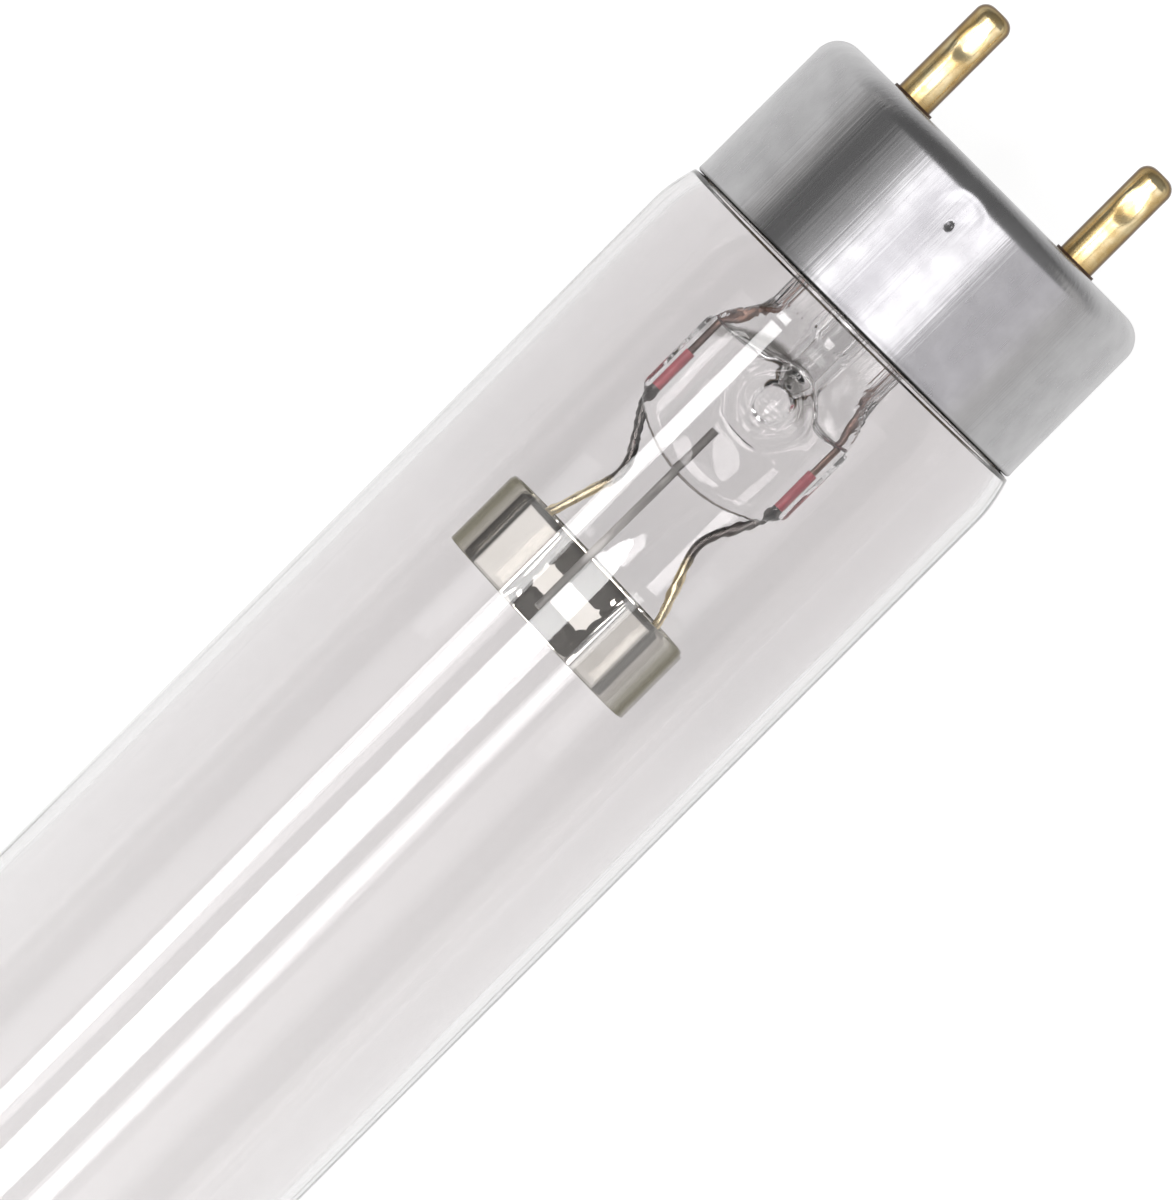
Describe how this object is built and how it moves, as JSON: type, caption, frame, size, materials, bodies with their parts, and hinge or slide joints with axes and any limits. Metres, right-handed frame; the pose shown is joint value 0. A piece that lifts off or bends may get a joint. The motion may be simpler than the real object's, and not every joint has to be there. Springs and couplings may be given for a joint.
{
  "type": "uv-c lamp",
  "caption": "Straight clear germicidal discharge tube with a pinned metal cap and a wire electrode inside a shield ring at each end.",
  "frame": {"origin": "middle of the lamp's axis, halfway between the end faces of the two caps", "axes": "+X along the lamp, the pins of both caps in the XY plane, +Z square to that plane"},
  "size_m": [0.4514, 0.0254, 0.0254],
  "materials": {
    "tube_glass": "clear drawn glass",
    "stem_glass": "clear pressed glass",
    "cap_aluminium": "drawn, satin",
    "insulator_phenolic": "moulded",
    "cement": "cured cement",
    "pin_brass": "bright",
    "lead_copper": "drawn wire",
    "seal_red": "borated copper cladding",
    "lead_nickel": "plated wire",
    "coil_tungsten": "coated winding",
    "shield_nickel": "bright strip",
    "mercury": "liquid metal"
  },
  "bodies": {
    "root": {"right_cap_shell": "cap_aluminium", "right_cap_insulator": "insulator_phenolic", "right_basing_cement": "cement", "right_contact_pin_1": "pin_brass", "right_contact_pin_2": "pin_brass", "right_glass_stem": "stem_glass", "right_exhaust_tube": "stem_glass", "right_outer_lead_1": "lead_copper", "right_outer_lead_2": "lead_copper", "right_seal_wire_1": "seal_red", "right_seal_wire_2": "seal_red", "right_inner_lead_1": "lead_nickel", "right_inner_lead_2": "lead_nickel", "right_electrode_coil": "coil_tungsten", "right_shield_ring": "shield_nickel", "right_shield_support": "lead_nickel", "left_cap_shell": "cap_aluminium", "left_cap_insulator": "insulator_phenolic", "left_basing_cement": "cement", "left_contact_pin_1": "pin_brass", "left_contact_pin_2": "pin_brass", "left_glass_stem": "stem_glass", "left_exhaust_tube": "stem_glass", "left_outer_lead_1": "lead_copper", "left_outer_lead_2": "lead_copper", "left_seal_wire_1": "seal_red", "left_seal_wire_2": "seal_red", "left_inner_lead_1": "lead_nickel", "left_inner_lead_2": "lead_nickel", "left_electrode_coil": "coil_tungsten", "left_shield_ring": "shield_nickel", "left_shield_support": "lead_nickel", "glass_tube": "tube_glass", "mercury_drop": "mercury"}
  },
  "joints": []
}
